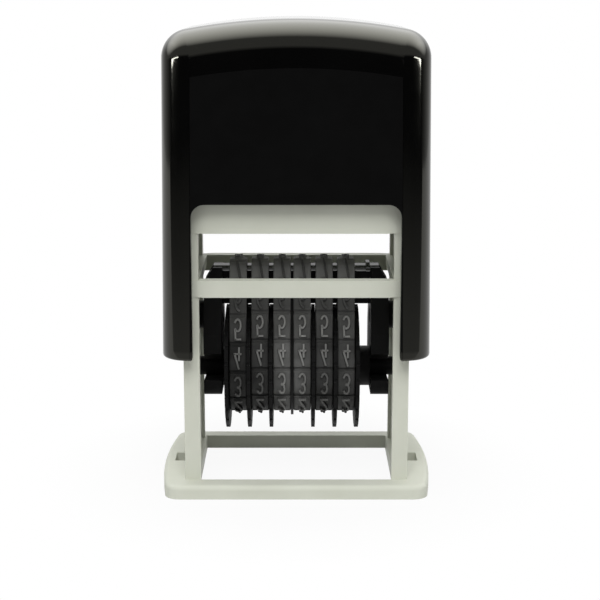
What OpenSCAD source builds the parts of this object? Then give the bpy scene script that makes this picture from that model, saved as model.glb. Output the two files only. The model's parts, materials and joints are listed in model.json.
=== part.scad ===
// Self-inking band stamp: a case that slides down a standing frame and turns a carriage of
// numbered bands over, so that the type swings from the pad slot down to the paper.
// Frame: origin at the middle of the base's underside, +X right, -Y front, +Z up.

/* [Base] */
// How far the base plate stands out past the case at each side
base_lip = 0.8; // [0:0.05:1.5]
// Depth of the base plate, front to back
base_d = 29.4; // [29.2:0.1:34]
// Thickness of the base plate
base_t = 2.2; // [1.6:0.1:3]
// Radius of the base plate's corners
base_corner = 2.4; // [2:0.1:4]
// How far the base plate's sides bulge between its corners
base_bulge = 0.9; // [0.2:0.1:1.2]
// Depth of the base's front and back bars
base_bar = 3.1; // [2.5:0.1:4]
// How far the base plate reaches in under each side wall
base_reach = 2.05; // [1.8:0.05:2.6]
// Width of the core slot in each wing
wing_slot_w = 2.35; // [1:0.05:2.4]
// Length of the core slot in each wing
wing_slot_d = 4.2; // [2:0.1:6]

/* [Frame] */
// Clearance between the side walls and the case's sides, where the case is narrowest
side_room = 1.1; // [0.8:0.05:1.4]
// Thickness of a side wall
wall_t = 1.2; // [1:0.1:1.6]
// Width of the flange that turns in at the front of a side wall
flange_w = 2.45; // [2:0.05:2.7]
// Width of the narrower flange at the back of a side wall
back_flange_w = 1.7; // [1.4:0.1:2.4]
// Thickness of the flanges
flange_t = 1.2; // [0.8:0.1:1.3]
// Height of the underside of the middle bars
mid_bar_z = 31.2; // [30.5:0.1:32]
// Height of a middle bar's face
mid_bar_h = 2.6; // [2:0.1:3.2]
// How far a middle bar stands proud of the flanges
mid_bar_proud = 0.6; // [0.2:0.1:0.9]
// Thickness of the middle and upper bars
bar_t = 2; // [1.2:0.1:2.4]
// Width of the slope at each end of a bar's proud face
bar_slope = 2.4; // [0.6:0.1:3]
// Height of the side rails between the middle bars
rail_h = 1.5; // [1:0.1:2]
// Height of the underside of the upper bars, the roof of the pad slot
upper_bar_z = 41; // [40:0.1:42]
// Height of the top of the frame's head
head_z = 48; // [47:0.1:50]
// Thickness of the head's plate
head_t = 1.5; // [1:0.1:2.5]
// Width of the latch holes for the pad's cassette
latch_w = 2.4; // [1.5:0.1:4]
// Height of the latch holes for the pad's cassette
latch_h = 2.2; // [1:0.1:3]

/* [Case] */
// Width of the case at its lower edge
case_w = 41; // [38:0.1:44]
// How far each side of the case leans in towards the crown
case_draft = 0.55; // [0.2:0.05:0.7]
// Clearance between the case's walls and the frame's middle bars
case_gap = 0.6; // [0.4:0.05:1]
// Height of the lower edge of the case when it stands up
case_z = 21.8; // [20.5:0.1:21.9]
// Height of the crown of the case when it stands up
case_top = 72.7; // [71:0.1:76]
// Radius of the arch of the crown
crown_r = 90; // [60:1:150]
// Radius of the case's corners and rounded top edges
case_r = 4.3; // [3:0.1:4.6]
// Thickness of the case's walls
case_wall = 1.6; // [1.2:0.1:1.7]
// Width of the open notch in the case's front and back
notch_w = 31.3; // [30.5:0.1:31.5]
// Height of the top of the notch when the case stands up
notch_z = 45.7; // [44:0.1:46.4]
// Radius of the notch's upper corners
notch_r = 2; // [1:0.1:4]
// Width of the raised flat panel on the case's front and back
panel_w = 31.9; // [31.6:0.1:33]
// How far the raised panel ends below the rounded edge of the crown
panel_drop = 1.3; // [0.5:0.1:3]
// How far the raised panel stands proud
panel_proud = 0.2; // [0.1:0.05:0.4]

/* [Carriage] */
// Height of the pivot that the case carries
pivot_z = 26; // [25.6:0.1:26.2]
// Radius of the pivot pins
pivot_r = 1.5; // [1.2:0.05:1.6]
// Radius of the pivot bosses inside the case
boss_r = 3; // [2.5:0.1:3.1]
// Height of the wheel axle
axle_z = 17.57; // [17.2:0.01:18]
// Radius of the wheel axle
axle_r = 1.5; // [1.2:0.05:1.6]
// Side clearance between a carriage arm and the frame's flange
arm_gap = 0.3; // [0.2:0.05:0.4]
// Half depth of the arms, front to back
arm_d = 6.5; // [4:0.1:7]
// How far the arms reach below the axle
arm_below = 3.3; // [3:0.1:3.6]
// Radius of the arms' lower corners
arm_corner = 1.2; // [0.5:0.1:2]
// Radius of the bearing hub on the outside of an arm
hub_r = 2.2; // [2:0.1:2.6]
// Height of the arms' upper ends
arm_top_z = 34; // [33.8:0.05:34.1]
// Width of the slope on the outside of the arms' upper ends
arm_slope_w = 1.4; // [0.5:0.1:1.6]
// Height of the slope on the outside of the arms' upper ends
arm_slope_h = 2.4; // [1:0.1:4]
// Width of the arm in front of and behind the nose bar
nose_cheek = 0.9; // [0.6:0.1:1.2]
// How far below the pivot the arms start to narrow
arm_shoulder = 2; // [1:0.1:4]
// Half height of the throat that the axle snaps through
mouth_throat = 1.3; // [1.2:0.05:1.4]
// Height of the mouth's upper lip above the axle, at the arm's front
mouth_flare = 3.5; // [2.5:0.1:4.5]
// How far the mouth's lower lip rises towards the arm's front
mouth_rise = 0.5; // [0:0.1:0.8]
// Thickness of the bridge between the arms
bridge_t = 2.2; // [1.5:0.1:2.6]
// Height of the underside of the bridge
bridge_z = 28; // [27.2:0.1:29]

/* [Bands and wheels] */
// Height that the type reaches at the top of the bands
print_z = 35.6; // [35.4:0.05:35.8]
// Number of type cells on a band
cells = 14; // [10:1:16]
// How far the cells are set along the band from the middle of the nose's top
cell_phase = -1.3; // [-2:0.1:2]
// Width of a band
band_w = 2.7; // [2.3:0.05:2.75]
// Thickness of a band's belt
belt_t = 0.6; // [0.4:0.05:0.7]
// Height of the type cells on the belt
cell_h = 0.35; // [0.2:0.05:0.5]
// Height of the raised figures on the cells
figure_h = 0.45; // [0.3:0.05:0.6]
// Width of the groove between two cells
groove_w = 0.5; // [0.3:0.05:0.8]
// Radius of a setting wheel's drum
drum_r = 6.2; // [5.5:0.1:6.4]
// Radius of a setting wheel's rim
rim_r = 9.9; // [9:0.1:10]
// Thickness of a setting wheel's rim
rim_t = 0.55; // [0.4:0.05:0.9]
// Number of finger notches round a rim
rim_notches = 24; // [12:1:36]
// Radius of a finger notch
rim_notch_r = 0.35; // [0.2:0.05:0.6]
// Thickness of the plate between the two middle bands
divider_t = 0.42; // [0.3:0.02:0.5]
// How far the plate between the two middle bands ends below the nose bar
divider_drop = 2; // [1:0.1:3]
// Radius of the plate between the two middle bands
divider_r = 7.9; // [7:0.1:8.5]
// Half thickness of the nose bar that the bands run over
nose_r = 0.55; // [0.5:0.05:0.8]
// Half width of the flat on top of the nose bar
nose_flat = 1; // [0.6:0.05:1.6]
// Width of the clip on the nose bar
clip_t = 0.6; // [0.4:0.05:0.8]
// Thickness of the clip's wall
clip_wall = 0.5; // [0.3:0.05:0.5]
// Radius of the collar beside the last wheel
collar_r = 3.2; // [2.5:0.1:3.2]
// Width of the collar beside the last wheel
collar_w = 1.75; // [0.8:0.05:2]
// Width of the thrust ring on the left arm, beside the first wheel
thrust_w = 0.45; // [0.2:0.05:0.8]

/* [Spring] */
// Radius of the spring's wire
wire_r = 0.4; // [0.3:0.05:0.5]
// Radius of the coil at the middle of the wire
coil_r = 3.6; // [3.4:0.1:4.5]
// Number of turns
turns = 7; // [5:0.5:7.5]
// Height of the seat on the frame's head
seat_h = 3; // [2:0.1:3.6]
// Height of the seat under the case's crown
crown_seat_h = 2.5; // [1.5:0.1:3]

/* [Fits] */
// Radial clearance of a pin or axle that turns in its bore
running = 0.05; // [0.03:0.01:0.08]
// Radial clearance of a pin that is held in its bore
held = 0.02; // [0.01:0.01:0.03]
// Side clearance between bands, wheels and the collar
side_gap = 0.1; // [0.08:0.01:0.12]
// Side clearance between the middle wheels and the plate between them
divider_gap = 0.04; // [0.03:0.01:0.1]
// Clearance of a pin in a guide slot of the side wall
slot_gap = 0.1; // [0.08:0.01:0.2]
// Clearance between a pivot boss and the side wall that it slides past
boss_gap = 0.15; // [0.1:0.05:0.3]
// How far the ends of pins and bars stay back from the faces around them
end_gap = 0.2; // [0.1:0.05:0.3]
// Clearance between a band and its wheel's drum
belt_gap = 0.1; // [0.05:0.01:0.15]
// Clearance between a band and the nose bar
nose_gap = 0.05; // [0.03:0.01:0.1]
// Clearance of the spring at its two ends
coil_end_gap = 0.02; // [0.01:0.01:0.05]
// Clearance of the spring round its seats
coil_gap = 0.3; // [0.2:0.05:0.4]
// Clearance of the axle's end in its window
window_gap = 0.27; // [0.2:0.01:0.3]

/* [Hidden] */
$fn = 64;
eps = 0.01;
through = 50;

black = [0.03, 0.03, 0.03];
soft_black = [0.07, 0.07, 0.07];
pale_grey = [0.77, 0.78, 0.73];
steel = [0.7, 0.7, 0.72];

// Stroke: the type face turns over the pivot and ends on the paper
stroke = 2 * pivot_z - print_z;
axle_reach = pivot_z - axle_z;

// Frame
column_d = base_d - 2 * base_bar;
wall_out = case_w / 2 - case_draft - case_wall - side_room;
wall_in = wall_out - wall_t;
flange_in = wall_out - flange_w;
mid_bar_front = column_d / 2 + mid_bar_proud;
window_r = axle_r + window_gap + axle_reach * 0.235;
window_reach = axle_reach + axle_r + window_gap - window_r;

// Case
base_w = case_w + 2 * base_lip;
case_d = column_d + 2 * (mid_bar_proud + case_gap + case_wall);
crown_z = case_top - crown_r;
crown_steps = 4;
boss_in = wall_out + boss_gap;
bore_end = case_w / 2 - case_wall / 2;
seat_r = coil_r - wire_r - coil_gap;

// Bands: the belt's inside runs over the drum and the nose bar
type_t = belt_t + cell_h;
nose_z = print_z - figure_h - type_t - nose_gap - nose_r;
wheel_path = drum_r + belt_gap + type_t;
nose_path = nose_r + nose_gap + type_t;
first_band = divider_t / 2 + divider_gap;
wheel_pitch = band_w + rim_t + 2 * side_gap;
stack = first_band + 3 * wheel_pitch - side_gap;

// Carriage
arm_in = stack + side_gap + (collar_w + thrust_w) / 2;
band_shift = (thrust_w - collar_w) / 2;
arm_out = flange_in - arm_gap;
arm_head = nose_flat + nose_r + nose_cheek;
nose_end = (arm_in + arm_out) / 2;
bridge_top = nose_z - nose_r - held;

// The belt leaves the wheel on a straight run: its slope from upright, and its length
nose_rise = nose_z - axle_z;
run_span = sqrt(nose_flat * nose_flat + nose_rise * nose_rise);
function run_slope(a, b) = 90 - atan2(nose_flat, nose_rise) - acos((a - b) / run_span);
function run_length(a, b) = sqrt(run_span * run_span - (a - b) * (a - b));

// A point s along the belt from the middle of the nose's top, down the front: [y, z, outward angle]
lift = run_slope(wheel_path, nose_path);
run = run_length(wheel_path, nose_path);
nose_arc = nose_path * (90 - lift) * PI / 180;
wheel_arc = wheel_path * (90 + lift) * PI / 180;
half_loop = nose_flat + nose_arc + run + wheel_arc;
function belt_point(s) =
    s > half_loop ? let (q = belt_point(2 * half_loop - s)) [-q[0], q[1], 180 - q[2]]
    : s < nose_flat ? [-s, nose_z + nose_path, 90]
    : s < nose_flat + nose_arc
        ? let (a = 90 + (s - nose_flat) / nose_path * 180 / PI)
          [-nose_flat + nose_path * cos(a), nose_z + nose_path * sin(a), a]
    : s < nose_flat + nose_arc + run
        ? let (a = 180 - lift, t = s - nose_flat - nose_arc)
          [-nose_flat + nose_path * cos(a) - t * sin(lift), nose_z + nose_path * sin(a) - t * cos(lift), a]
    : let (a = 180 - lift + (s - nose_flat - nose_arc - run) / wheel_path * 180 / PI)
      [wheel_path * cos(a), axle_z + wheel_path * sin(a), a];

// Stands a shape drawn in (y, z) upright and gives it the thickness t along X, from x
module across(x, t) {
    translate([x, 0, 0]) rotate([90, 0, 90]) linear_extrude(t) children();
}

module rod(r, x0, x1) {
    translate([x0, 0, 0]) rotate([0, 90, 0]) cylinder(r = r, h = x1 - x0);
}

module mirrored() {
    children();
    mirror([1, 0, 0]) children();
}

module mirrored_depth() {
    children();
    mirror([0, 1, 0]) children();
}

// A rectangle with round corners, about the origin
module rounded(w, d, r) {
    square([w - 2 * r, d], center = true);
    square([w, d - 2 * r], center = true);
    for (x = [-1, 1], y = [-1, 1]) translate([x * (w / 2 - r), y * (d / 2 - r)]) circle(r);
}

// A block given by its lowest and highest corner
module block(low, high) {
    translate(low) cube(high - low);
}

// The standing frame: base plate, two side walls with turned-in flanges, three levels of bars
module frame() {
    color(pale_grey) difference() {
        union() {
            base_plate();
            mirrored() side_wall();
            mirrored_depth() {
                mid_bar();
                upper_bar();
            }
            mirrored() block([flange_in, -column_d / 2, mid_bar_z + mid_bar_h - rail_h],
                             [wall_out, column_d / 2, mid_bar_z + mid_bar_h]);
            block([-wall_out, -column_d / 2, head_z - head_t], [wall_out, column_d / 2, head_z]);
            translate([0, 0, head_z - eps]) cylinder(r = seat_r, h = seat_h + eps);
        }
        mirrored() {
            pin_slot();
            axle_window();
            latch_hole();
        }
    }
}

module base_plate() {
    difference() {
        linear_extrude(base_t) base_outline();
        block([base_reach - wall_out, -column_d / 2, -1], [wall_out - base_reach, column_d / 2, base_t + 1]);
        mirrored() block([wall_out, -wing_slot_d / 2, -1],
                         [wall_out + wing_slot_w, wing_slot_d / 2, base_t + 1]);
    }
}

// The plate seen from above: round corners, and sides that bulge slightly
module base_outline() {
    r = base_corner;
    x = base_w / 2 - base_bulge - r;
    y = base_d / 2 - r;
    bulge_r = (y * y + base_bulge * base_bulge) / 2 / base_bulge;
    tilt = asin(y / bulge_r);
    middle = base_w / 2 - bulge_r;
    polygon(concat(
        arc([middle, 0], bulge_r, -tilt, tilt, 8),
        arc([x, y], r, tilt, 90, 8),
        arc([-x, y], r, 90, 180 - tilt, 8),
        arc([-middle, 0], bulge_r, 180 - tilt, 180 + tilt, 8),
        arc([-x, -y], r, 180 + tilt, 270, 8),
        arc([x, -y], r, 270, 360 - tilt, 8)
    ));
}

// A side wall is a channel: a thin plate with a flange at the front and a narrower one at the back
module side_wall() {
    front = -column_d / 2;
    block([wall_in, front, base_t - eps], [wall_out, -front, head_z]);
    block([flange_in, front, base_t - eps], [wall_out, front + flange_t, head_z]);
    block([wall_out - back_flange_w, -front - flange_t, base_t - eps], [wall_out, -front, head_z]);
}

// A bar's front stands proud and slopes back at both ends
module proud_bar(low, high) {
    end = (flange_in + wall_out) / 2;
    translate([0, 0, low]) linear_extrude(high - low) polygon([
        [-end, -column_d / 2 + eps], [-end + bar_slope, -mid_bar_front], [end - bar_slope, -mid_bar_front],
        [end, -column_d / 2 + eps], [end, bar_t - mid_bar_front], [-end, bar_t - mid_bar_front],
    ]);
}

module mid_bar() {
    proud_bar(mid_bar_z, mid_bar_z + mid_bar_h);
}

module upper_bar() {
    proud_bar(upper_bar_z, head_z);
}

// The pivot pin slides down this slot
module pin_slot() {
    r = pivot_r + slot_gap;
    low = pivot_z - stroke;
    translate([0, 0, pivot_z]) rod(r, wall_in - 1, wall_out + 1);
    translate([0, 0, low]) rod(r, wall_in - 1, wall_out + 1);
    block([wall_in - 1, -r, low], [wall_out + 1, r, pivot_z]);
}

// The end of the wheel axle swings back and forth through this window
module axle_window() {
    z = (axle_z + pivot_z - stroke + axle_reach) / 2;
    translate([0, 0, z]) rod(window_r, wall_in - 1, wall_out + 1);
    translate([0, window_reach, z]) rod(window_r, wall_in - 1, wall_out + 1);
    block([wall_in - 1, 0, z - window_r], [wall_out + 1, window_reach, z + window_r]);
}

// The pad's cassette clips into these holes at the front and back of the pad slot
module latch_hole() {
    front = flange_t - column_d / 2;
    mirrored_depth() block([wall_in - 1, front, upper_bar_z - latch_h],
                           [wall_out + 1, front + latch_w, upper_bar_z]);
}

// The handle: a hollow case with an arched crown, open below, notched at the front and back
module case() {
    color(black) {
        difference() {
            union() {
                difference() {
                    union() {
                        case_body(0, case_z);
                        mirrored_depth() case_panel();
                    }
                    case_body(case_wall, case_z - 1);
                    notch();
                }
                mirrored() translate([0, 0, pivot_z]) rod(boss_r, boss_in, bore_end);
            }
            mirrored() translate([0, 0, pivot_z]) rod(pivot_r + running, boss_in - 1, bore_end);
        }
        translate([0, 0, case_top - case_wall - crown_seat_h])
            cylinder(r = seat_r, h = crown_seat_h + case_wall / 2);
    }
}

// The case's outer form, or its inside when drawn smaller by "inset": drafted walls and a crown
module case_body(inset, low) {
    w = case_w - 2 * inset;
    d = case_d - 2 * inset;
    r = case_r - inset;
    arch = crown_r - inset - r;
    side = w / 2 - case_draft - r;
    lean = asin(side / arch);
    hull() {
        translate([0, 0, low]) linear_extrude(eps) rounded(w, d, r);
        for (i = [-crown_steps : crown_steps], y = [-1, 1])
            translate([arch * sin(lean * i / crown_steps), y * (d / 2 - r),
                       crown_z + arch * cos(lean * i / crown_steps)]) sphere(r, $fn = 40);
    }
}

// The flat panel that stands proud of the case's front, up to where the crown curves away
module case_panel() {
    top = case_top - case_r - panel_w * panel_w / 8 / crown_r - panel_drop;
    block([-panel_w / 2, -case_d / 2 - panel_proud, case_z], [panel_w / 2, case_wall / 2 - case_d / 2, top]);
}

module notch() {
    translate([0, through / 2, 0]) rotate([90, 0, 0]) linear_extrude(through) {
        translate([-notch_w / 2, case_z - 1]) square([notch_w, notch_z - notch_r - case_z + 1]);
        translate([notch_r - notch_w / 2, case_z]) square([notch_w - 2 * notch_r, notch_z - case_z]);
        for (x = [-1, 1]) translate([x * (notch_w / 2 - notch_r), notch_z - notch_r]) circle(notch_r);
    }
}

// The coil that lifts the case, between the frame's head and the crown
module return_spring() {
    low = head_z + wire_r + coil_end_gap;
    high = case_top - case_wall - wire_r - coil_end_gap;
    rings = ceil(turns * 12);
    sides = 8;
    rows = [for (i = [0 : rings]) let (a = 360 * turns * i / rings, z = low + (high - low) * i / rings)
        for (j = [0 : sides - 1]) let (b = 360 * j / sides, r = coil_r + wire_r * cos(b))
            [r * cos(a), r * sin(a), z + wire_r * sin(b)]];
    skin = [for (i = [0 : rings - 1], j = [0 : sides - 1])
        let (k = (j + 1) % sides, p = i * sides, q = p + sides)
        for (f = [[p + j, q + k, p + k], [p + j, q + j, q + k]]) f];
    last = rings * sides;
    ends = [[for (j = [0 : sides - 1]) j], [for (j = [sides - 1 : -1 : 0]) last + j]];
    color(steel) polyhedron(points = rows, faces = concat(skin, ends));
}

// The swinging carriage: two arms joined by a bridge that runs inside the bands
module carriage() {
    color(soft_black) {
        mirrored() difference() {
            translate([0, 0, pivot_z]) rod(hub_r, arm_out - eps, wall_in - arm_gap);
            translate([0, 0, pivot_z]) rod(pivot_r + held, arm_in - 1, wall_in);
        }
        mirrored() difference() {
            across(arm_in, arm_out - arm_in) difference() {
                arm_outline();
                translate([0, axle_z]) circle(axle_r + held);
                arm_mouth();
                nose_outline(nose_r + held);
            }
            translate([0, 0, pivot_z]) rod(pivot_r + held, arm_in - 1, wall_in);
            arm_slope();
        }
        across(-arm_in - eps, thrust_w + eps) difference() {
            translate([0, axle_z]) circle(collar_r);
            translate([0, axle_z]) circle(axle_r + held);
            arm_mouth();
        }
        block([-arm_in - end_gap, -bridge_t / 2, bridge_z], [arm_in + end_gap, bridge_t / 2, bridge_top]);
    }
}

module arm_outline() {
    low = axle_z - arm_below;
    shoulder = pivot_z - arm_shoulder;
    polygon(concat(
        arc([arm_corner - arm_d, low + arm_corner], arm_corner, 180, 270, 6),
        arc([arm_d - arm_corner, low + arm_corner], arm_corner, 270, 360, 6),
        [[arm_d, shoulder], [arm_head, arm_top_z], [-arm_head, arm_top_z], [-arm_d, shoulder]]
    ));
}

// The arms' upper ends slope in at their outer sides
module arm_slope() {
    x = arm_out + eps;
    z = arm_top_z + eps;
    translate([0, through / 2, 0]) rotate([90, 0, 0]) linear_extrude(through)
        polygon([[x - arm_slope_w, z], [x, z - arm_slope_h], [x, z]]);
}

// The axle snaps into the arm through a mouth at the front with flared lips
module arm_mouth() {
    throat = mouth_throat;
    polygon([
        [0, axle_z - throat], [0, axle_z + throat], [-axle_r, axle_z + throat],
        [-arm_d - eps, axle_z + mouth_flare], [-arm_d - eps, axle_z - throat + mouth_rise],
        [-axle_r, axle_z - throat],
    ]);
}

// The nose bar seen from its end
module nose_outline(r) {
    translate([-nose_flat, nose_z - r]) square([2 * nose_flat, 2 * r]);
    for (y = [-nose_flat, nose_flat]) translate([y, nose_z]) circle(r);
}

module pivot_pins() {
    color(steel) mirrored() translate([0, 0, pivot_z])
        rod(pivot_r, arm_in + end_gap, bore_end - end_gap);
}

module wheel_axle() {
    color(steel) translate([0, 0, axle_z]) rod(axle_r, end_gap - wall_out, wall_out - end_gap);
}

module axle_collar() {
    color(soft_black) translate([0, 0, axle_z]) difference() {
        rod(collar_r, arm_in - collar_w, arm_in);
        rod(axle_r + held, arm_in - collar_w - 1, arm_in + 1);
    }
}

// The thin plate between the two middle bands, slotted to straddle the bridge
module center_divider() {
    color(soft_black) difference() {
        across(band_shift - divider_t / 2, divider_t) loop_outline(divider_r, nose_r);
        translate([0, 0, axle_z]) rod(axle_r + held, band_shift - 1, band_shift + 1);
        block([band_shift - 1, -bridge_t / 2 - held, bridge_z - held],
              [band_shift + 1, bridge_t / 2 + held, through]);
        block([band_shift - 1, -through, bridge_top - divider_drop], [band_shift + 1, through, through]);
    }
}

module nose_bar() {
    color(steel) across(-nose_end, 2 * nose_end) nose_outline(nose_r);
}

// The clip that keeps the nose bar from sliding sideways, open below to clear the bridge
module nose_clip() {
    color(steel) across(arm_in - side_gap - clip_t, clip_t) difference() {
        nose_outline(nose_r + clip_wall);
        nose_outline(nose_r + held);
        translate([-through / 2, nose_z - nose_r / 2 - through]) square(through);
    }
}

// The path of a belt seen from the side, round the wheel with radius a and the nose with radius b
module loop_outline(a, b) {
    slope = run_slope(a, b);
    polygon(concat(
        arc([0, axle_z], a, 180 - slope, 360 + slope, 40),
        arc([nose_flat, nose_z], b, slope, 90, 8),
        arc([-nose_flat, nose_z], b, 90, 180 - slope, 8)
    ));
}

function arc(center, r, from, to, steps) =
    [for (i = [0 : steps]) let (t = from + (to - from) * i / steps) center + r * [cos(t), sin(t)]];

// Bands and wheels are numbered 1 to 6 from the left; the middle pair is 3 and 4
module placed(k) {
    translate([band_shift, 0, 0]) mirror([k < 3.5 ? 1 : 0, 0, 0])
        translate([first_band + (abs(k - 3.5) - 0.5) * wheel_pitch, 0, 0]) children();
}

module wheel(k) {
    color(soft_black) placed(k) translate([0, 0, axle_z]) difference() {
        union() {
            rod(drum_r, 0, band_w + side_gap + eps);
            across(band_w + side_gap, rim_t) difference() {
                circle(rim_r);
                for (i = [1 : rim_notches]) rotate(360 * i / rim_notches)
                    translate([rim_r + rim_notch_r / 4, 0]) circle(rim_notch_r, $fn = 16);
            }
        }
        rod(axle_r + running, -1, band_w + rim_t + 2);
    }
}

module band(k) {
    loop = 2 * half_loop;
    color(soft_black) placed(k) difference() {
        across(0, band_w) loop_outline(wheel_path, nose_path);
        across(-1, band_w + 2) loop_outline(wheel_path - type_t, nose_path - type_t);
        for (i = [0 : cells - 1]) let (q = belt_point((i + 0.5) * loop / cells + cell_phase))
            translate([band_w / 2, q[0], q[1]]) rotate([q[2], 0, 0])
                cube([band_w + 2, 2 * cell_h, groove_w], center = true);
    }
}

frame();
case();
return_spring();
carriage();
pivot_pins();
wheel_axle();
axle_collar();
center_divider();
nose_bar();
nose_clip();
wheel(1);  // wheel_1
wheel(2);  // wheel_2
wheel(3);  // wheel_3
wheel(4);  // wheel_4
wheel(5);  // wheel_5
wheel(6);  // wheel_6
band(1);  // band_1
band(2);  // band_2
band(3);  // band_3
band(4);  // band_4
band(5);  // band_5
band(6);  // band_6
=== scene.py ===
import json
import math

import bmesh
import bpy
from mathutils import Matrix, Quaternion, Vector


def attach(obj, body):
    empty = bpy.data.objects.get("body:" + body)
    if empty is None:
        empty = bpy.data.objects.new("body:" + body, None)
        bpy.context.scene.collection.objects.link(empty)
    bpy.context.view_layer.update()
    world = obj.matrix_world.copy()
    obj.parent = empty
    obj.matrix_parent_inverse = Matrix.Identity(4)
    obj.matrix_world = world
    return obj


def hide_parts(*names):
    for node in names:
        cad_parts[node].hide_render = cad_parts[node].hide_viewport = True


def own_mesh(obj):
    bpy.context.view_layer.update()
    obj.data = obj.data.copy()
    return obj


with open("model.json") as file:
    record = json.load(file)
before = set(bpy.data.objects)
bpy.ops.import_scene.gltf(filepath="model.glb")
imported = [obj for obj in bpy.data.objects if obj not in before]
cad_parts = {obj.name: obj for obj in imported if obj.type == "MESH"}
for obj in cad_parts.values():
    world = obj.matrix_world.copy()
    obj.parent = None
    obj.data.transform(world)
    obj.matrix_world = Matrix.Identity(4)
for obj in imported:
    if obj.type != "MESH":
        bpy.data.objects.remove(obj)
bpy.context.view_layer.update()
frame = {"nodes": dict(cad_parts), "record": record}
nodes = frame["nodes"]

MM = 0.001


# Camera at the photograph's viewing angle

LENS = 88.86
SENSOR = 36
PHOTO_WIDTH = 600
PHOTO_SHIFT = (3.75, 3.8)
CAMERA_PLACE = (0, -231.5, 76.9)
CAMERA_TILT = 78

camera_data = bpy.data.cameras.new("camera")
camera_data.sensor_width = SENSOR
camera_data.lens = LENS
camera_data.clip_start = 0.01
camera_data.clip_end = 10
camera_data.shift_x = PHOTO_SHIFT[0] / PHOTO_WIDTH
camera_data.shift_y = PHOTO_SHIFT[1] / PHOTO_WIDTH
camera = bpy.data.objects.new("camera", camera_data)
camera.location = [v * MM for v in CAMERA_PLACE]
camera.rotation_euler = (math.radians(CAMERA_TILT), 0, 0)
bpy.context.scene.collection.objects.link(camera)
bpy.context.scene.camera = camera
bpy.context.scene.view_settings.view_transform = "Standard"


# Materials

def material(name, color, roughness, metallic=0.0):
    mat = bpy.data.materials.new(name)
    mat.use_nodes = True
    shader = mat.node_tree.nodes["Principled BSDF"]
    shader.inputs["Base Color"].default_value = (*color, 1)
    shader.inputs["Roughness"].default_value = roughness
    shader.inputs["Metallic"].default_value = metallic
    return mat, mat.node_tree, shader


def noise(tree, scale, detail=3.0, stretch=None):
    """A noise texture in the object's own metres."""
    place = tree.nodes.new("ShaderNodeTexCoord")
    texture = tree.nodes.new("ShaderNodeTexNoise")
    texture.inputs["Scale"].default_value = scale
    texture.inputs["Detail"].default_value = detail
    source = place.outputs["Object"]
    if stretch:
        mapping = tree.nodes.new("ShaderNodeMapping")
        mapping.inputs["Scale"].default_value = stretch
        tree.links.new(source, mapping.inputs["Vector"])
        source = mapping.outputs["Vector"]
    tree.links.new(source, texture.inputs["Vector"])
    return texture.outputs["Fac"]


def spread(tree, value, low, high, start=0.3, end=0.7):
    """Maps a value between start and end to the range low to high."""
    ramp = tree.nodes.new("ShaderNodeMapRange")
    ramp.inputs["From Min"].default_value = start
    ramp.inputs["From Max"].default_value = end
    ramp.inputs["To Min"].default_value = low
    ramp.inputs["To Max"].default_value = high
    tree.links.new(value, ramp.inputs["Value"])
    return ramp.outputs["Result"]


def tint(tree, shader, value, dark, light):
    """Varies the base colour between two colours by a noise value."""
    mix = tree.nodes.new("ShaderNodeMix")
    mix.data_type = "RGBA"
    mix.inputs["A"].default_value = (*dark, 1)
    mix.inputs["B"].default_value = (*light, 1)
    tree.links.new(value, mix.inputs["Factor"])
    tree.links.new(mix.outputs["Result"], shader.inputs["Base Color"])


def bump(tree, shader, value, strength, distance):
    """Raises the surface by a noise value, with a height in metres."""
    node = tree.nodes.new("ShaderNodeBump")
    node.inputs["Strength"].default_value = strength
    node.inputs["Distance"].default_value = distance
    tree.links.new(value, node.inputs["Height"])
    tree.links.new(node.outputs["Normal"], shader.inputs["Normal"])


GLOSS_PATCH = 420


def moulded(name, dark, light, rough, grain, height, shine=0.5, patch=120):
    """Moulded plastic or rubber: a slow change of shade, an uneven gloss and a fine grain."""
    mat, tree, shader = material(name, light, rough[0])
    shader.inputs["Specular IOR Level"].default_value = shine
    tint(tree, shader, spread(tree, noise(tree, patch), 0, 1), dark, light)
    gloss = spread(tree, noise(tree, GLOSS_PATCH, 5), *rough)
    tree.links.new(gloss, shader.inputs["Roughness"])
    bump(tree, shader, noise(tree, grain, 4), 0.5, height)
    return mat


def grey(level, warmth=0.0):
    return (level, level, level * (1 - warmth))


def tint_gloss(mat, color):
    shader = mat.node_tree.nodes["Principled BSDF"]
    shader.inputs["Specular Tint"].default_value = (*color, 1)


FRAME_PLASTIC = moulded(
    "frame_plastic", (0.56, 0.575, 0.495), (0.60, 0.615, 0.535), (0.38, 0.5), 2600, 0.000012, 0.12)
CASE_PLASTIC = moulded("case_plastic", grey(0.0015), grey(0.002), (0.07, 0.09), 900, 0.000001)
tint_gloss(CASE_PLASTIC, (1, 0.99, 0.86))
CASE_PANEL = moulded("case_panel", grey(0.0014), grey(0.0019), (0.42, 0.5), 3200, 0.00001, 0.08)
CARRIAGE_PLASTIC = moulded(
    "carriage_plastic", grey(0.0025), grey(0.004), (0.45, 0.58), 2600, 0.000012, 0.15)
WHEEL_PLASTIC = moulded("wheel_plastic", grey(0.003), grey(0.005), (0.5, 0.62), 2600, 0.000012, 0.12)


# Up the bands: painted light above the printing line, painted shade below the frame's middle bar, and
# painted light over the nose; heights in metres at rest
PAINTED_LIGHT_RUBBER = grey(0.11, 0.04)
PAINTED_LIGHT_RUBBER_HEIGHTS = (0.0222, 0.0242)
PAINTED_LIGHT_FIGURE = grey(0.31, 0.04)
PAINTED_LIGHT_FIGURE_HEIGHTS = (0.0185, 0.0245)
PAINTED_SHADE_RUBBER = grey(0.052, 0.04)
PAINTED_SHADE_FIGURE = grey(0.065, 0.04)
PAINTED_SHADE_HEIGHTS = (0.0268, 0.0282)
NOSE_PAINTED_LIGHT_RUBBER = grey(0.17, 0.04)
NOSE_PAINTED_LIGHT_HEIGHTS = (0.0305, 0.0328)


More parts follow.
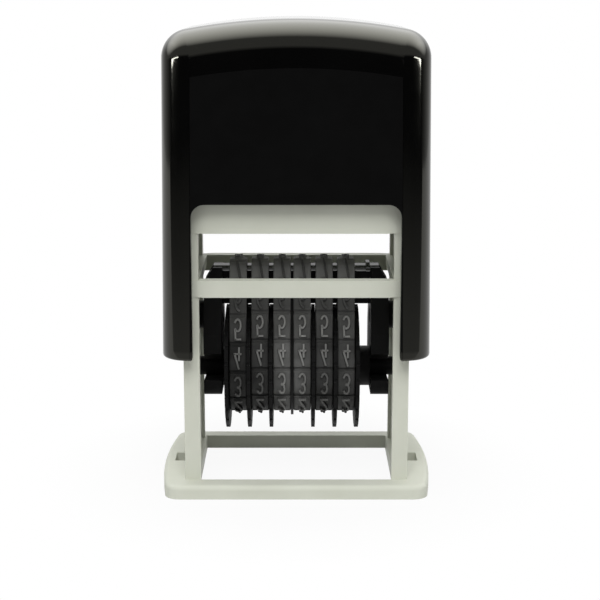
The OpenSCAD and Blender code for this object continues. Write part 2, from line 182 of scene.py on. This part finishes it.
def fade_up(mat, color, heights, share=1):
    """Paints light or shade into a material's colour, changing it upward over a range of heights."""
    tree = mat.node_tree
    shader = tree.nodes["Principled BSDF"]
    below = shader.inputs["Base Color"].links[0].from_socket
    place = tree.nodes.new("ShaderNodeTexCoord")
    parts = tree.nodes.new("ShaderNodeSeparateXYZ")
    tree.links.new(place.outputs["Object"], parts.inputs["Vector"])
    mix = tree.nodes.new("ShaderNodeMix")
    mix.data_type = "RGBA"
    mix.inputs["B"].default_value = (*color, 1)
    tree.links.new(spread(tree, parts.outputs["Z"], 0, share, *heights), mix.inputs["Factor"])
    tree.links.new(below, mix.inputs["A"])
    tree.links.new(mix.outputs["Result"], shader.inputs["Base Color"])


def band_rubber(k, shade):
    """The rubber of a band, and the paler rubber on the tops of its figures, which differ less in
    shade; both get painted light and shade by height.
    """
    figure_tone = shade ** 0.6
    cells = moulded(f"band_rubber_{k}", grey(0.036 * shade, 0.05), grey(0.086 * shade, 0.03),
                    (0.55, 0.7), 2000, 0.00002, 0.3, 260)
    figures = moulded(f"figure_rubber_{k}", grey(0.11 * figure_tone, 0.05), grey(0.16 * figure_tone, 0.03),
                      (0.5, 0.65), 2400, 0.000015, 0.3, 260)
    # Painted light on the cells above the printing line and over the nose, and painted shade below the
    # middle bar; the same on the figures
    fade_up(cells, PAINTED_LIGHT_RUBBER, PAINTED_LIGHT_RUBBER_HEIGHTS, 0.6)
    fade_up(cells, PAINTED_SHADE_RUBBER, PAINTED_SHADE_HEIGHTS, 0.8)
    fade_up(cells, NOSE_PAINTED_LIGHT_RUBBER, NOSE_PAINTED_LIGHT_HEIGHTS)
    fade_up(figures, PAINTED_LIGHT_FIGURE, PAINTED_LIGHT_FIGURE_HEIGHTS, 0.7)
    fade_up(figures, PAINTED_SHADE_FIGURE, PAINTED_SHADE_HEIGHTS)
    return cells, figures


BAND_SHADE = {1: 0.36, 2: 0.52, 3: 1.65, 4: 1.38, 5: 0.72, 6: 1.05}
BAND_RUBBER = {k: band_rubber(k, shade) for k, shade in BAND_SHADE.items()}


def drawn_steel(name, dark, light):
    """Drawn wire and bar, with fine lines along its length."""
    mat, tree, shader = material(name, light, 0.15, 1.0)
    lines = noise(tree, 900, 4, (0.04, 1, 1))
    tint(tree, shader, spread(tree, lines, 0, 1), dark, light)
    tree.links.new(spread(tree, noise(tree, 700, 4), 0.1, 0.2), shader.inputs["Roughness"])
    bump(tree, shader, lines, 0.4, 0.000006)
    return mat


STEEL = drawn_steel("steel", grey(0.4), grey(0.5, 0.02))
DARK_STEEL = drawn_steel("dark_steel", grey(0.1), grey(0.15, 0.02))
tint_gloss(DARK_STEEL, grey(0.5))

PAINT = {
    "frame_plastic": FRAME_PLASTIC,
    "case_plastic": CASE_PLASTIC,
    "carriage_plastic": CARRIAGE_PLASTIC,
    "wheel_plastic": WHEEL_PLASTIC,
    "band_rubber": BAND_RUBBER[1][0],
    "steel": STEEL,
}
for entry in frame["record"]["subparts"]:
    mesh = nodes[entry["node"]].data
    mesh.materials.clear()
    mesh.materials.append(PAINT[entry["material_slot"]])
for name in ("nose_bar", "nose_clip"):
    nodes[name].data.materials[0] = DARK_STEEL


# Soft edges on the CAD nodes that stay

def soften(name, width, segments=3, angle=40):
    obj = nodes[name]
    flat = obj.modifiers.new("flat", "DECIMATE")
    flat.decimate_type = "DISSOLVE"
    flat.angle_limit = math.radians(1)
    bevel = obj.modifiers.new("soft_edges", "BEVEL")
    bevel.width = width * MM
    bevel.segments = segments
    bevel.limit_method = "ANGLE"
    bevel.angle_limit = math.radians(angle)
    bevel.harden_normals = True


soften("carriage", 0.2)
for k in BAND_SHADE:
    soften(f"wheel_{k}", 0.22)


# Small mesh helpers

def add_object(name, bm, mats, smooth=40):
    """Turns a bmesh in millimetres into an object in metres, smooth below the given angle."""
    bmesh.ops.recalc_face_normals(bm, faces=bm.faces)
    bmesh.ops.transform(bm, matrix=Matrix.Scale(MM, 4), verts=bm.verts)
    mesh = bpy.data.meshes.new(name)
    bm.to_mesh(mesh)
    bm.free()
    for mat in mats:
        mesh.materials.append(mat)
    mesh.polygons.foreach_set("use_smooth", [True] * len(mesh.polygons))
    mesh.set_sharp_from_angle(angle=math.radians(smooth))
    obj = bpy.data.objects.new(name, mesh)
    bpy.context.scene.collection.objects.link(obj)
    return obj


def bake(obj):
    """Applies an object's modifiers to its own mesh."""
    deps = bpy.context.evaluated_depsgraph_get()
    mesh = bpy.data.meshes.new_from_object(obj.evaluated_get(deps))
    obj.modifiers.clear()
    old = obj.data
    obj.data = mesh
    bpy.data.meshes.remove(old)


def steps(start, end, count):
    return [start + (end - start) * i / count for i in range(count + 1)]


def oval(cx, cy, rx, ry, start, end, count=18):
    return [(cx + rx * math.cos(math.radians(a)), cy + ry * math.sin(math.radians(a)))
            for a in steps(start, end, count)]


def grid(bm, rows, closed=True):
    """Joins rows of points into quads; closed rows run all the way round."""
    made = [[bm.verts.new(p) for p in row] for row in rows]
    count = len(rows[0])
    for low, high in zip(made, made[1:]):
        for i in range(count if closed else count - 1):
            j = (i + 1) % count
            bm.faces.new((low[i], low[j], high[j], high[i]))
    return made


def tube(bm, x0, x1, center, radius, bore, count=48):
    """A short tube along X with a small chamfer on both ends."""
    cut = 0.15
    profile = [
        (x0, bore), (x0, radius - cut), (x0 + cut, radius),
        (x1 - cut, radius), (x1, radius - cut), (x1, bore),
    ]
    rows = [[(x, *p) for p in oval(*center, r, r, 0, 360, count)[:-1]] for x, r in profile]
    made = grid(bm, rows)
    for i in range(count):
        j = (i + 1) % count
        bm.faces.new((made[-1][i], made[-1][j], made[0][j], made[0][i]))


# Frame: the CAD solid with a well rounded base and softened edges everywhere else

def rounded_copy(node, name, mat, rounds, width, angle=40):
    """A copy of a CAD node with rounded edges: "rounds" lists (radius, test of an edge) pairs."""
    bm = bmesh.new()
    bm.from_mesh(nodes[node].data)
    bmesh.ops.remove_doubles(bm, verts=bm.verts, dist=0.001 * MM)
    bmesh.ops.dissolve_limit(bm, angle_limit=math.radians(0.8), verts=bm.verts, edges=bm.edges)

    def sharp():
        return [e for e in bm.edges
                if len(e.link_faces) == 2 and e.calc_face_angle() > math.radians(angle)]

    for radius, test in rounds:
        edges = [e for e in sharp() if test(e)]
        bmesh.ops.bevel(bm, geom=edges, offset=radius * MM, segments=5, profile=0.5,
                        affect="EDGES", clamp_overlap=True)
    bmesh.ops.bevel(bm, geom=sharp(), offset=width * MM, segments=3, profile=0.5,
                    affect="EDGES", clamp_overlap=True)
    bmesh.ops.transform(bm, matrix=Matrix.Scale(1 / MM, 4), verts=bm.verts)
    obj = add_object(name, bm, [mat], 50)
    even = obj.modifiers.new("even_shading", "WEIGHTED_NORMAL")
    even.weight = 100
    even.keep_sharp = True
    return obj


BASE_T = 2.2
BASE_MIDDLE = (18, 12.5)
BASE_ROUND = 0.8
FRAME_ROUND = 0.3


def on_base_rim(edge):
    """The outer upper edge of the base plate."""
    middle = (edge.verts[0].co + edge.verts[1].co) / 2 / MM
    if any(abs(v.co.z / MM - BASE_T) > 0.01 for v in edge.verts):
        return False
    side = min((face.normal for face in edge.link_faces), key=lambda n: n.z)
    outward = side.x * middle.x + side.y * middle.y > 0
    return outward and (abs(middle.x) > BASE_MIDDLE[0] or abs(middle.y) > BASE_MIDDLE[1])


frame_piece = rounded_copy(
    "frame", "frame_moulding", FRAME_PLASTIC, [(BASE_ROUND, on_base_rim)], FRAME_ROUND)
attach(frame_piece, "frame")
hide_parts("frame")


# Case: a drafted shell with an arched crown, a raised panel at the front and back, and a notch

CASE_W = 20.5
CASE_D = 14.4
CASE_DRAFT = 0.55
CASE_R = 4.3
CASE_WALL = 1.6
CASE_LOW = 21.8
CASE_TOP = 72.68
CROWN_R = 90.0
PANEL_X = 16.1
PANEL_UP = 0.2
PANEL_TOP = 0.942
PANEL_FADE = 6.1
NOTCH_X = 15.65
NOTCH_Z = 45.7
NOTCH_R = 2.0
NOTCH_FOOT = 0.7
NOTCH_ROUND = 0.22
CUT_REACH = 20
PIVOT_Z = 26
BOSS_X = (17.55, 19.3)
BOSS_R = 3.0
BOSS_BORE = 1.55
# The lower rim's section from the outer to the inner face: inset and lift
RIM = [
    (0.0, 0.45), (0.06, 0.2), (0.2, 0.06), (0.45, 0),
    (1.15, 0), (1.4, 0.06), (1.54, 0.2), (1.6, 0.45),
]


def case_plan():
    """Points round the case: the place on the inner rectangle and the outward direction."""
    flat_x = CASE_W - CASE_R
    flat_y = CASE_D - CASE_R
    panel_edges = [s * v for s in (-1, 1) for v in (PANEL_X, PANEL_X - 0.1)]
    across = sorted(set(steps(-flat_x, flat_x, 44) + panel_edges))
    along = steps(-flat_y, flat_y, 14)
    turn = [math.radians(a) for a in steps(0, 90, 12)][1:-1]
    ring = []
    ring += [(x, -flat_y, 0, -1) for x in across]
    ring += [(flat_x, -flat_y, math.sin(a), -math.cos(a)) for a in turn]
    ring += [(flat_x, y, 1, 0) for y in along]
    ring += [(flat_x, flat_y, math.cos(a), math.sin(a)) for a in turn]
    ring += [(x, flat_y, 0, 1) for x in reversed(across)]
    ring += [(-flat_x, flat_y, -math.sin(a), math.cos(a)) for a in turn]
    ring += [(-flat_x, y, -1, 0) for y in reversed(along)]
    ring += [(-flat_x, -flat_y, -math.cos(a), -math.sin(a)) for a in turn]
    return ring, across, along


def case_point(spot, radius, rise, bend, panel):
    """A point of the shell: "rise" runs up the wall, "bend" from the wall over the edge to the top."""
    flat_x = CASE_W - CASE_R
    arch = CROWN_R - CASE_R
    x0, y0, nx, ny = spot
    x = x0 * (1 - CASE_DRAFT / flat_x * rise)
    shoulder = CASE_TOP - CROWN_R + math.sqrt(arch * arch - x * x)
    z = CASE_LOW + (shoulder - CASE_LOW) * rise
    up = Vector((x / arch, 0, math.sqrt(1 - (x / arch) ** 2)))
    side = Vector((nx, ny, 0))
    way = side.slerp(up, bend) if bend > 0 else side
    if panel and abs(x0) < PANEL_X - 0.01 and abs(ny) == 1:
        above = max(0.0, rise - PANEL_TOP) * (shoulder - CASE_LOW) + bend * CASE_R * math.pi / 2
        left = max(0.0, 1 - above / PANEL_FADE)
        radius += PANEL_UP * left * left * (3 - 2 * left)
    return Vector((x, y0, z)) + way * radius


def paint_panel(bm, ring, rises):
    """Gives the panel its matte finish; the faces lie in rows of the ring's length."""
    bm.faces.ensure_lookup_table()
    count = len(ring)
    for row, rise in enumerate(rises[1:]):
        for i, (spot, after) in enumerate(zip(ring, ring[1:] + ring[:1])):
            flat = abs(spot[3]) == 1 and abs(after[3]) == 1
            if flat and rise <= PANEL_TOP and max(abs(spot[0]), abs(after[0])) < PANEL_X - 0.05:
                bm.faces[row * count + i].material_index = 1


def case_shell(bm):
    ring, across, along = case_plan()
    bends = steps(0, 1, 14)[1:]
    layers = {}
    for name, radius, panel in (("outer", CASE_R, True), ("inner", CASE_R - CASE_WALL, False)):
        rises = sorted([v for v in steps(0, 1, 30) if v > 0.012] + [PANEL_TOP])
        rows = [[case_point(p, radius, v, 0, panel) for p in ring] for v in rises]
        rows += [[case_point(p, radius, 1, b, panel) for p in ring] for b in bends]
        layers[name] = grid(bm, rows)
        if panel:
            paint_panel(bm, ring, rises)
        top = layers[name][-1]
        corner = {}
        for vert, spot in zip(top, ring):
            corner.setdefault((round(spot[0], 4), round(spot[1], 4)), []).append(vert)
        place = {}
        for x in across:
            for y in along:
                key = (round(x, 4), round(y, 4))
                if key in corner:
                    place[key] = corner[key][0]
                else:
                    place[key] = bm.verts.new(case_point((x, y, 0, -1), radius, 1, 1, False))
        for x0, x1 in zip(across, across[1:]):
            for y0, y1 in zip(along, along[1:]):
                bm.faces.new([place[(round(x, 4), round(y, 4))]
                              for x, y in ((x0, y0), (x1, y0), (x1, y1), (x0, y1))])
    rows = []
    for inset, lift in RIM:
        row = []
        for p in ring:
            point = case_point(p, CASE_R - inset, 0, 0, inset < 1)
            row.append((point.x, point.y, CASE_LOW + lift))
        rows.append(row)
    made = grid(bm, rows)
    count = len(ring)
    for low, high in ((made[0], layers["outer"][0]), (made[-1], layers["inner"][0])):
        for i in range(count):
            j = (i + 1) % count
            bm.faces.new((low[i], low[j], high[j], high[i]))
    bmesh.ops.remove_doubles(bm, verts=bm.verts, dist=0.002)


def notch_cutter():
    bm = bmesh.new()
    low = CASE_LOW - 2
    right = [(NOTCH_X + NOTCH_FOOT, low)]
    foot_z = CASE_LOW + NOTCH_FOOT - 0.05
    right += oval(NOTCH_X + NOTCH_FOOT, foot_z, NOTCH_FOOT, NOTCH_FOOT, 270, 180, 8)
    right += oval(NOTCH_X - NOTCH_R, NOTCH_Z - NOTCH_R, NOTCH_R, NOTCH_R, 0, 90, 10)
    outline = right + [(-x, z) for x, z in reversed(right)]
    front = [bm.verts.new((x, -CUT_REACH, z)) for x, z in outline]
    back = [bm.verts.new((x, CUT_REACH, z)) for x, z in outline]
    bm.faces.new(front)
    bm.faces.new(list(reversed(back)))
    for i in range(len(outline)):
        j = (i + 1) % len(outline)
        bm.faces.new((front[i], back[i], back[j], front[j]))
    return add_object("notch_cutter", bm, [CASE_PLASTIC])


def build_case():
    bm = bmesh.new()
    case_shell(bm)
    case = add_object("case_shell", bm, [CASE_PLASTIC, CASE_PANEL])
    cutter = notch_cutter()
    cut = case.modifiers.new("notch", "BOOLEAN")
    cut.operation = "DIFFERENCE"
    cut.solver = "EXACT"
    cut.object = cutter
    bake(case)
    bpy.data.objects.remove(cutter)
    round_notch(case)
    bm = bmesh.new()
    for side in (-1, 1):
        x0, x1 = sorted(side * x for x in BOSS_X)
        tube(bm, x0, x1, (0, PIVOT_Z), BOSS_R, BOSS_BORE)
    bosses = add_object("pivot_bosses", bm, [CASE_PLASTIC])
    bosses.parent = case
    return case


def round_notch(case):
    """Rounds the edges that the notch has cut into the case's walls."""
    bm = bmesh.new()
    bm.from_mesh(case.data)
    edges = []
    for edge in bm.edges:
        if len(edge.link_faces) != 2 or edge.calc_face_angle() < math.radians(50):
            continue
        middle = (edge.verts[0].co + edge.verts[1].co) / 2 / MM
        in_side = abs(abs(middle.x) - NOTCH_X) < 0.02 and middle.z < NOTCH_Z
        in_arch = NOTCH_Z - NOTCH_R - 0.05 < middle.z < NOTCH_Z + 0.02
        in_top = in_arch and abs(middle.x) < NOTCH_X + 0.02
        if in_side or in_top:
            edges.append(edge)
    bmesh.ops.bevel(bm, geom=edges, offset=NOTCH_ROUND * MM, segments=3, profile=0.5,
                    affect="EDGES", clamp_overlap=True)
    bm.to_mesh(case.data)
    bm.free()
    case.data.polygons.foreach_set("use_smooth", [True] * len(case.data.polygons))
    case.data.set_sharp_from_angle(angle=math.radians(35))


case = build_case()
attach(case, "case")
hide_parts("case")


# Bands: a belt with raised cells and figures, bent round the wheel and the nose bar

AXLE_Z = 17.57
NOSE_Z = 33.6
NOSE_FLAT = 1.0
WHEEL_PATH = 7.25
NOSE_PATH = 1.55
TYPE_T = 0.95
CELL_H = 0.35
FIGURE_H = 0.45
GROOVE_W = 0.5
BAND_W = 2.7
BAND_EDGE = 0.14
BAND_PITCH = 3.45
FIRST_BAND = 0.25
MIDDLE_BAND = 3.5
BAND_SHIFT = -0.65
DIVIDER_GAP = 0.04
CELLS = 14
CELL_PHASE = -1.3

nose_rise = NOSE_Z - AXLE_Z
span = math.hypot(NOSE_FLAT, nose_rise)
drop = WHEEL_PATH - NOSE_PATH
lift = math.pi / 2 - math.atan2(NOSE_FLAT, nose_rise) - math.acos(drop / span)
run = math.sqrt(span * span - drop * drop)
nose_arc = NOSE_PATH * (math.pi / 2 - lift)
wheel_arc = WHEEL_PATH * (math.pi / 2 + lift)
half_loop = NOSE_FLAT + nose_arc + run + wheel_arc
cell_pitch = 2 * half_loop / CELLS


def belt_point(s, out):
    """The point (y, z) at length s from the nose's top down the front, "out" above the cells."""
    s %= 2 * half_loop
    if s > half_loop:
        y, z = belt_point(2 * half_loop - s, out)
        return -y, z
    if s < NOSE_FLAT:
        return -s, NOSE_Z + NOSE_PATH + out
    s -= NOSE_FLAT
    if s < nose_arc:
        a = math.pi / 2 + s / NOSE_PATH
        r = NOSE_PATH + out
        return -NOSE_FLAT + r * math.cos(a), NOSE_Z + r * math.sin(a)
    s -= nose_arc
    if s < run:
        a = math.pi - lift
        r = NOSE_PATH + out
        return (-NOSE_FLAT + r * math.cos(a) - s * math.sin(lift),
                NOSE_Z + r * math.sin(a) - s * math.cos(lift))
    a = math.pi - lift + (s - run) / WHEEL_PATH
    r = WHEEL_PATH + out
    return r * math.cos(a), AXLE_Z + r * math.sin(a)


# Each figure as pen strokes in a box one wide and one high, about its middle
SIX = [oval(0, -0.2, 0.5, 0.3, 0, 360, 28), oval(0.3, -0.2, 0.8, 0.7, 180, 98, 12)]
STROKES = {
    "0": [oval(0, 0, 0.48, 0.5, 0, 360, 32)],
    "1": [[(-0.28, 0.26), (0.08, 0.5)], [(0.08, 0.5), (0.08, -0.5)]],
    "2": [oval(0, 0.24, 0.48, 0.26, 165, -25) + [(-0.48, -0.5)], [(-0.48, -0.5), (0.48, -0.5)]],
    "3": [oval(0, 0.25, 0.44, 0.25, 150, -90), oval(0, -0.24, 0.5, 0.26, 90, -150)],
    "4": [[(0.18, 0.5), (-0.5, -0.2)], [(-0.5, -0.2), (0.5, -0.2)], [(0.22, 0.1), (0.22, -0.5)]],
    "5": [[(0.44, 0.5), (-0.36, 0.5)], [(-0.36, 0.5), (-0.42, 0.04)],
          oval(-0.02, -0.2, 0.5, 0.3, 142, -148)],
    "6": SIX,
    "7": [[(-0.48, 0.5), (0.48, 0.5)], [(0.48, 0.5), (-0.1, -0.5)]],
    "8": [oval(0, 0.26, 0.42, 0.24, 0, 360, 24), oval(0, -0.24, 0.5, 0.26, 0, 360, 28)],
    "9": [[(-x, -y) for x, y in stroke] for stroke in SIX],
}
FIGURES = "876543210    9"
FIGURE_SIZE = (0.95, 3.15)
PEN = 0.17
PEN_OVERRUN = 0.8
PEN_STEP = 0.35
# A stroke's section: the offset in pen widths and the height as a share of the figure's
STROKE_SECTION = [(-1.2, -0.06), (-1.0, 0.78), (-0.72, 1), (0.72, 1), (1.0, 0.78), (1.2, -0.06)]
STROKE_TOP = (1, 2, 3)


def ridge(bm, line, place):
    """A raised stroke along a line of points; place(u, v, out) sets it on the band."""
    closed = math.dist(line[0], line[-1]) < 0.001
    if closed:
        line = line[:-1]
    else:
        first = (Vector(line[0]) - Vector(line[1])).normalized()
        last = (Vector(line[-1]) - Vector(line[-2])).normalized()
        start = tuple(Vector(line[0]) + first * PEN * PEN_OVERRUN)
        end = tuple(Vector(line[-1]) + last * PEN * PEN_OVERRUN)
        line = [start] + line[1:-1] + [end]
        fine = [line[0]]
        for a, b in zip(line, line[1:]):
            parts = max(1, math.ceil(math.dist(a, b) / PEN_STEP))
            fine += [tuple(Vector(a).lerp(Vector(b), i / parts)) for i in range(1, parts + 1)]
        line = fine
    count = len(line)
    sections = []
    for i, (u, v) in enumerate(line):
        before = line[i - 1] if closed or i else line[i]
        after = line[(i + 1) % count] if closed or i + 1 < count else line[i]
        way = Vector((after[0] - before[0], after[1] - before[1])).normalized()
        side = Vector((-way.y, way.x))
        row = []
        for offset, out in STROKE_SECTION:
            spot = Vector((u, v)) + side * (offset * PEN)
            row.append(bm.verts.new(place(spot.x, spot.y, out * FIGURE_H)))
        sections.append(row)
    pairs = list(zip(sections, sections[1:]))
    if closed:
        pairs.append((sections[-1], sections[0]))
    width = len(STROKE_SECTION)
    for low, high in pairs:
        for i in range(width):
            j = (i + 1) % width
            face = bm.faces.new((low[i], low[j], high[j], high[i]))
            face.material_index = 1 if i in STROKE_TOP else 0
    if not closed:
        bm.faces.new(list(reversed(sections[0])))
        bm.faces.new(sections[-1])


def build_band(k, phase):
    bm = bmesh.new()
    x0 = FIRST_BAND + (abs(k - MIDDLE_BAND) - 0.5) * BAND_PITCH
    middle = BAND_SHIFT + math.copysign(x0 + BAND_W / 2, k - MIDDLE_BAND)
    wide = {3: (0, DIVIDER_GAP), 4: (-DIVIDER_GAP, 0)}.get(k, (0, 0))
    left = wide[0] - BAND_W / 2
    right = wide[1] + BAND_W / 2
    edge = BAND_EDGE
    half = (cell_pitch - GROOVE_W) / 2
    profile = [(-half - GROOVE_W / 2, -CELL_H), (-half, -CELL_H), (-half, -edge)]
    profile += [(s, 0) for s in steps(-half + edge, half - edge, 12)]
    profile += [(half, -edge), (half, -CELL_H)]
    rows = []
    for i in range(CELLS):
        center = i * cell_pitch + phase
        for s, out in profile:
            section = [(left, -TYPE_T), (left, out - edge), (left + edge, out),
                       (right - edge, out), (right, out - edge), (right, -TYPE_T)]
            rows.append([(middle + x, *belt_point(center + s, o)) for x, o in section])
    made = [[bm.verts.new(p) for p in row] for row in rows]
    for low, high in zip(made, made[1:] + made[:1]):
        for i in range(len(low)):
            j = (i + 1) % len(low)
            bm.faces.new((low[i], low[j], high[j], high[i]))
    for i, figure in enumerate(FIGURES):
        if figure == " ":
            continue
        center = i * cell_pitch + phase

        def place(u, v, out):
            y, z = belt_point(center + v, out)
            return (middle + u, y, z)

        for stroke in STROKES[figure]:
            ridge(bm, [(u * FIGURE_SIZE[0], v * FIGURE_SIZE[1]) for u, v in stroke], place)
    band = add_object(f"number_band_{k}", bm, BAND_RUBBER[k], 30)
    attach(band, "carriage")
    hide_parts(f"band_{k}")


BAND_OFFSET = {1: 0.55, 2: 0.0, 3: 0.0, 4: 0.0, 5: 0.0, 6: 0.1}
for k, offset in BAND_OFFSET.items():
    build_band(k, CELL_PHASE + offset)


# Return spring: a round wire coil, carried with the frame

SPRING_ENDS = (48.42, 70.68)
SPRING_R = 3.6
SPRING_TURNS = 7
SPRING_SEGMENTS = SPRING_TURNS * 32
WIRE_R = 0.4


def return_coil():
    bm = bmesh.new()
    turns = steps(0, SPRING_TURNS, SPRING_SEGMENTS)
    heights = steps(*SPRING_ENDS, SPRING_SEGMENTS)
    rows = []
    for turn, height in zip(turns, heights):
        a = 2 * math.pi * turn
        rows.append([((SPRING_R + u) * math.cos(a), (SPRING_R + u) * math.sin(a), height + v)
                     for u, v in oval(0, 0, WIRE_R, WIRE_R, 0, 360, 16)[:-1]])
    made = grid(bm, rows)
    bm.faces.new(list(reversed(made[0])))
    bm.faces.new(made[-1])
    return add_object("return_coil", bm, [STEEL])


coil = return_coil()
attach(coil, "frame")
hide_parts("return_spring")
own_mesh(coil)


# Studio

def area_light(name, place, aim, size, power, glossy=False, diffuse=True, roll=0):
    data = bpy.data.lights.new(name, "AREA")
    data.shape = "RECTANGLE"
    data.size, data.size_y = size
    data.energy = power
    lamp = bpy.data.objects.new(name, data)
    lamp.location = place
    facing = (Vector(aim) - Vector(place)).to_track_quat("-Z", "Y")
    lamp.rotation_euler = (facing @ Quaternion((0, 0, 1), roll)).to_euler()
    lamp.visible_glossy = glossy
    lamp.visible_diffuse = diffuse
    bpy.context.scene.collection.objects.link(lamp)


CENTER = (0, 0, 0.03)
area_light("overhead", (0, 0.05, 0.6), CENTER, (0.5, 0.5), 0.6)
area_light("front_key", (0, -0.45, 0.545), CENTER, (0.36, 0.36), 2.95)
for side in (-1, 1):
    corner = (side * 0.0177, -0.012, 0.067)
    area_light(f"corner_glint_{side}", (side * 0.44, -0.26, 0.088), corner, (0.27, 0.018), 0.6,
               glossy=True, diffuse=False, roll=-side * math.radians(13))

SOFT_BOX_WAY = (0, 0.174, 0.985)
ROOM_LIGHT = 0.55


def white_world():
    """A white room for the camera and a softer one for light. Gloss sees a dark room in front of the
    object, white behind it, a broad soft box above and a paler rim at its rear."""
    world = bpy.data.worlds.new("world")
    bpy.context.scene.world = world
    world.use_nodes = True
    tree = world.node_tree
    shade = tree.nodes["Background"]
    shade.inputs["Color"].default_value = (1, 1, 1, 1)
    place = tree.nodes.new("ShaderNodeTexCoord")
    parts = tree.nodes.new("ShaderNodeSeparateXYZ")
    tree.links.new(place.outputs["Generated"], parts.inputs["Vector"])
    flat = tree.nodes.new("ShaderNodeCombineXYZ")
    tree.links.new(parts.outputs["Y"], flat.inputs["Y"])
    tree.links.new(parts.outputs["Z"], flat.inputs["Z"])
    unit = tree.nodes.new("ShaderNodeVectorMath")
    unit.operation = "NORMALIZE"
    tree.links.new(flat.outputs["Vector"], unit.inputs[0])
    rise = tree.nodes.new("ShaderNodeVectorMath")
    rise.operation = "DOT_PRODUCT"
    rise.inputs[1].default_value = SOFT_BOX_WAY
    tree.links.new(unit.outputs["Vector"], rise.inputs[0])
    size = tree.nodes.new("ShaderNodeVectorMath")
    size.operation = "LENGTH"
    tree.links.new(flat.outputs["Vector"], size.inputs[0])
    box = spread(tree, rise.outputs["Value"], 0, 5.6, 0.66, 1)
    ends = spread(tree, size.outputs["Value"], 0, 1, 0.1, 0.65)
    low = spread(tree, rise.outputs["Value"], 0, 0.45, -0.02, 0.14)
    behind = spread(tree, parts.outputs["Y"], 0, 1.08, -0.2, 1)
    below = spread(tree, parts.outputs["Z"], 0.6, 0, -0.3, -0.1)
    rim = spread(tree, rise.outputs["Value"], 0, 0.9, 0.4, 0.6)
    rear = spread(tree, parts.outputs["Y"], 0, 1, 0.45, 0.75)

    def join(operation, first, second):
        node = tree.nodes.new("ShaderNodeMath")
        node.operation = operation
        tree.links.new(first, node.inputs[0])
        tree.links.new(second, node.inputs[1])
        return node.outputs["Value"]

    around = join("MAXIMUM", join("MAXIMUM", low, below), behind)
    above = join("ADD", join("MULTIPLY", box, ends), join("MULTIPLY", rim, rear))
    gloss = join("ADD", around, above)
    path = tree.nodes.new("ShaderNodeLightPath")
    lit = tree.nodes.new("ShaderNodeMix")
    lit.inputs["A"].default_value = ROOM_LIGHT
    tree.links.new(path.outputs["Is Glossy Ray"], lit.inputs["Factor"])
    tree.links.new(gloss, lit.inputs["B"])
    seen = tree.nodes.new("ShaderNodeMix")
    seen.inputs["B"].default_value = 1
    tree.links.new(path.outputs["Is Camera Ray"], seen.inputs["Factor"])
    tree.links.new(lit.outputs["Result"], seen.inputs["A"])
    tree.links.new(seen.outputs["Result"], shade.inputs["Strength"])


white_world()


FLOOR_X = (-500, 500)
FLOOR_Y = (-42, 700)
FLOOR_SHADE = 0.7
SHADOW_GLOW = 0.92
SHADOW_FADE = (0.024, 0.042)


def pale_floor():
    """A plain pale floor that shows white to the camera and keeps a soft shadow near the object."""
    mat, tree, shader = material("pale_floor", grey(FLOOR_SHADE), 0.9)
    shader.inputs["Specular IOR Level"].default_value = 0
    glow = tree.nodes.new("ShaderNodeEmission")
    glow.inputs["Color"].default_value = (1, 1, 1, 1)
    path = tree.nodes.new("ShaderNodeLightPath")
    seen = tree.nodes.new("ShaderNodeMath")
    seen.operation = "MAXIMUM"
    tree.links.new(path.outputs["Is Camera Ray"], seen.inputs[0])
    tree.links.new(path.outputs["Is Glossy Ray"], seen.inputs[1])
    place = tree.nodes.new("ShaderNodeTexCoord")
    away = tree.nodes.new("ShaderNodeVectorMath")
    away.operation = "LENGTH"
    tree.links.new(place.outputs["Object"], away.inputs[0])
    share = tree.nodes.new("ShaderNodeMath")
    share.operation = "MULTIPLY"
    tree.links.new(seen.outputs["Value"], share.inputs[0])
    glow_share = spread(tree, away.outputs["Value"], SHADOW_GLOW, 1, *SHADOW_FADE)
    tree.links.new(glow_share, share.inputs[1])
    mix = tree.nodes.new("ShaderNodeMixShader")
    tree.links.new(share.outputs["Value"], mix.inputs["Fac"])
    tree.links.new(shader.outputs["BSDF"], mix.inputs[1])
    tree.links.new(glow.outputs["Emission"], mix.inputs[2])
    tree.links.new(mix.outputs["Shader"], tree.nodes["Material Output"].inputs["Surface"])
    bm = bmesh.new()
    grid(bm, [[(x, y, 0) for x in steps(*FLOOR_X, 8)] for y in steps(*FLOOR_Y, 8)], closed=False)
    floor = add_object("floor", bm, [mat])


pale_floor()
